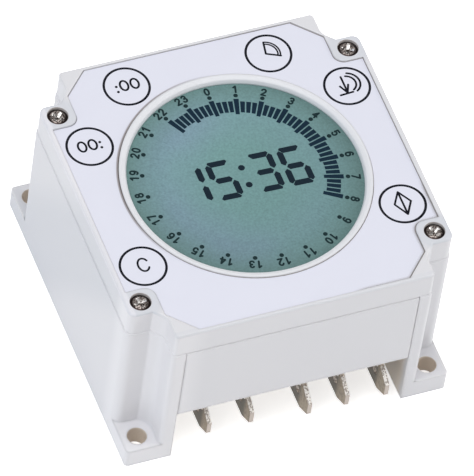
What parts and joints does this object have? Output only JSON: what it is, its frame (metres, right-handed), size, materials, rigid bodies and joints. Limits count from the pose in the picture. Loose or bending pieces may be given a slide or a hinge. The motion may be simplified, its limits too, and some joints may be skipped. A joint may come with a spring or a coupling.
{
  "type": "electronic time switch",
  "caption": "Square surface-mounted 24-hour time switch module with a round display, six foil keys, screw feet and blade terminals.",
  "frame": {"origin": "centre of the four fixing holes, on the mounting plane", "axes": "+Z out of the display, +Y towards the top of its digits, -Y towards the blade terminals, +X to the digits' right"},
  "size_m": [0.0606, 0.0618, 0.0353],
  "materials": {
    "housing_abs": "white moulded ABS, fine satin",
    "cover_abs": "white moulded ABS, fine satin",
    "front_foil": "bluish white printed polyester foil, satin",
    "display_face": "grey green reflective display, satin polariser",
    "display_glass": "clear thin glass",
    "reflector": "reflective film",
    "holder_plastic": "white moulded frame",
    "contact_rubber": "layered conductive elastomer",
    "circuit_board": "green solder resist on glass epoxy",
    "chip_black": "black moulded epoxy",
    "crystal_can": "drawn can, bright",
    "cell_steel": "nickel plated steel can",
    "pin_strip": "black strip with gilt pins",
    "relay_case": "blue moulded case",
    "film_cap_case": "potted box, beige",
    "varistor_coat": "dipped epoxy, blue",
    "capacitor_sleeve": "shrink sleeve on an aluminium can",
    "tinned_brass": "tin plated stamped brass, dull with bright cut edges",
    "screw_steel": "nickel plated steel",
    "switch_black": "black moulded nylon",
    "plunger_white": "white acetal"
  },
  "bodies": {
    "case": {"base_housing": "housing_abs", "front_panel": "housing_abs", "front_cover": "cover_abs", "front_foil": "front_foil", "lcd_front_polariser": "display_face", "lcd_front_glass": "display_glass", "lcd_rear_glass": "display_glass", "lcd_reflector": "reflector", "lcd_holder": "holder_plastic", "contact_strip_right": "contact_rubber", "contact_strip_left": "contact_rubber", "main_board": "circuit_board", "microcontroller": "chip_black", "quartz_crystal": "crystal_can", "backup_cell": "cell_steel", "board_link": "pin_strip", "power_board": "circuit_board", "power_relay": "relay_case", "film_capacitor": "film_cap_case", "varistor": "varistor_coat", "radial_capacitor_1": "capacitor_sleeve", "radial_capacitor_2": "capacitor_sleeve", "terminal_tab_1": "tinned_brass", "terminal_tab_2": "tinned_brass", "terminal_tab_3": "tinned_brass", "terminal_tab_4": "tinned_brass", "terminal_tab_5": "tinned_brass", "cover_screw_rear_right": "screw_steel", "cover_screw_rear_left": "screw_steel", "cover_screw_front_left": "screw_steel", "cover_screw_front_right": "screw_steel", "switch_body_hours": "switch_black", "switch_body_minutes": "switch_black", "switch_body_sector": "switch_black", "switch_body_arrow": "switch_black", "switch_body_diamond": "switch_black", "switch_body_clear": "switch_black"},
    "key_hours": {"key_pad_hours": "front_foil", "key_plunger_hours": "plunger_white", "switch_stem_hours": "switch_black"},
    "key_minutes": {"key_pad_minutes": "front_foil", "key_plunger_minutes": "plunger_white", "switch_stem_minutes": "switch_black"},
    "key_sector": {"key_pad_sector": "front_foil", "key_plunger_sector": "plunger_white", "switch_stem_sector": "switch_black"},
    "key_arrow": {"key_pad_arrow": "front_foil", "key_plunger_arrow": "plunger_white", "switch_stem_arrow": "switch_black"},
    "key_diamond": {"key_pad_diamond": "front_foil", "key_plunger_diamond": "plunger_white", "switch_stem_diamond": "switch_black"},
    "key_clear": {"key_pad_clear": "front_foil", "key_plunger_clear": "plunger_white", "switch_stem_clear": "switch_black"}
  },
  "joints": [
    {"name": "press_hours", "type": "slide", "parent": "case", "child": "key_hours", "axis": [0, 0, -1], "range_m": [0, 0.0002], "stiffness_N_per_m": 800},
    {"name": "press_minutes", "type": "slide", "parent": "case", "child": "key_minutes", "axis": [0, 0, -1], "range_m": [0, 0.0002], "stiffness_N_per_m": 800},
    {"name": "press_sector", "type": "slide", "parent": "case", "child": "key_sector", "axis": [0, 0, -1], "range_m": [0, 0.0002], "stiffness_N_per_m": 800},
    {"name": "press_arrow", "type": "slide", "parent": "case", "child": "key_arrow", "axis": [0, 0, -1], "range_m": [0, 0.0002], "stiffness_N_per_m": 800},
    {"name": "press_diamond", "type": "slide", "parent": "case", "child": "key_diamond", "axis": [0, 0, -1], "range_m": [0, 0.0002], "stiffness_N_per_m": 800},
    {"name": "press_clear", "type": "slide", "parent": "case", "child": "key_clear", "axis": [0, 0, -1], "range_m": [0, 0.0002], "stiffness_N_per_m": 800}
  ]
}
